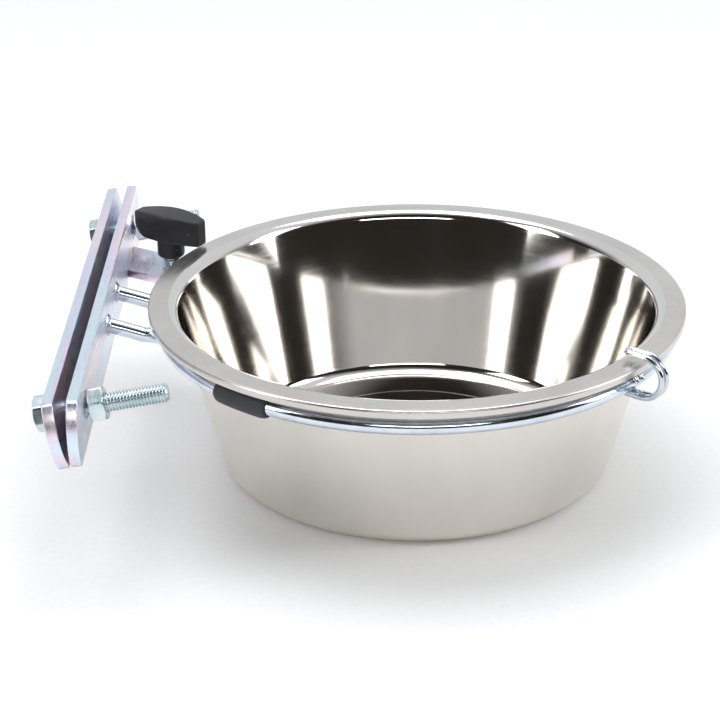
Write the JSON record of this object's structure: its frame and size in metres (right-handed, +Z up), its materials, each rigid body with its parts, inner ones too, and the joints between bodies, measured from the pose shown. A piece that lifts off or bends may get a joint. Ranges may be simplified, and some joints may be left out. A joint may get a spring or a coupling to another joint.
{
  "type": "clamp-on feeding bowl",
  "caption": "Round steel bowl in a wire ring, latched by a wing knob and a rim clip, with two bolted plates that clamp to a cage wall.",
  "frame": {"origin": "centre of the bowl's standing ring, on the floor", "axes": "+Z up, +X from the clamp plates to the far side of the bowl, +Y along the clamp plates"},
  "size_m": [0.2087, 0.196, 0.0704],
  "materials": {
    "stainless": "polished inside, satin outside",
    "zinc_wire": "bright zinc",
    "zinc_plate": "iridescent zinc",
    "zinc_screw": "blue-white zinc",
    "black_plastic": "fine matte",
    "grey_rubber": "matte"
  },
  "bodies": {
    "holder": {"holder_ring": "zinc_wire", "inner_plate": "zinc_plate", "latch_tab": "zinc_plate", "front_sleeve": "grey_rubber", "back_sleeve": "grey_rubber"},
    "bowl": {"bowl": "stainless", "bowl_rim": "stainless"},
    "clip": {"rim_clip": "zinc_wire"},
    "knob": {"wing_knob": "black_plastic", "knob_stud": "zinc_screw"},
    "outer_jaw": {"outer_plate": "zinc_plate", "near_bolt": "zinc_screw", "far_bolt": "zinc_screw"},
    "near_nut": {"near_nut": "zinc_screw"},
    "far_nut": {"far_nut": "zinc_screw"}
  },
  "joints": [
    {"name": "bowl_turn", "type": "hinge", "parent": "holder", "child": "bowl", "pos_m": [0, 0, 0.0537], "axis": [0, 0, 1], "continuous": true},
    {"name": "clip_swing", "type": "hinge", "parent": "holder", "child": "clip", "pos_m": [0.06527, -0.05477, 0.0517], "axis": [0.6428, 0.766, 0], "range_deg": [0, 95]},
    {"name": "knob_turn", "type": "hinge", "parent": "holder", "child": "knob", "pos_m": [-0.08654, 0.05303, 0.0535], "axis": [0, 0, 1], "continuous": true},
    {"name": "clamp_slide", "type": "slide", "parent": "holder", "child": "outer_jaw", "axis": [-0.9848, 0, -0.1736], "range_m": [0, 0.017]},
    {"name": "near_nut_turn", "type": "hinge", "parent": "holder", "child": "near_nut", "pos_m": [-0.09873, -0.076, 0.05614], "axis": [0.9848, 0, 0.1736], "range_deg": [-10, 6130]},
    {"name": "far_nut_turn", "type": "hinge", "parent": "holder", "child": "far_nut", "pos_m": [-0.09873, 0.076, 0.05614], "axis": [0.9848, 0, 0.1736], "range_deg": [-10, 6130]}
  ],
  "couplings": [
    {"joint": "near_nut_turn", "follows": "clamp_slide", "rad_per_m": 6283.2},
    {"joint": "far_nut_turn", "follows": "clamp_slide", "rad_per_m": 6283.2}
  ]
}
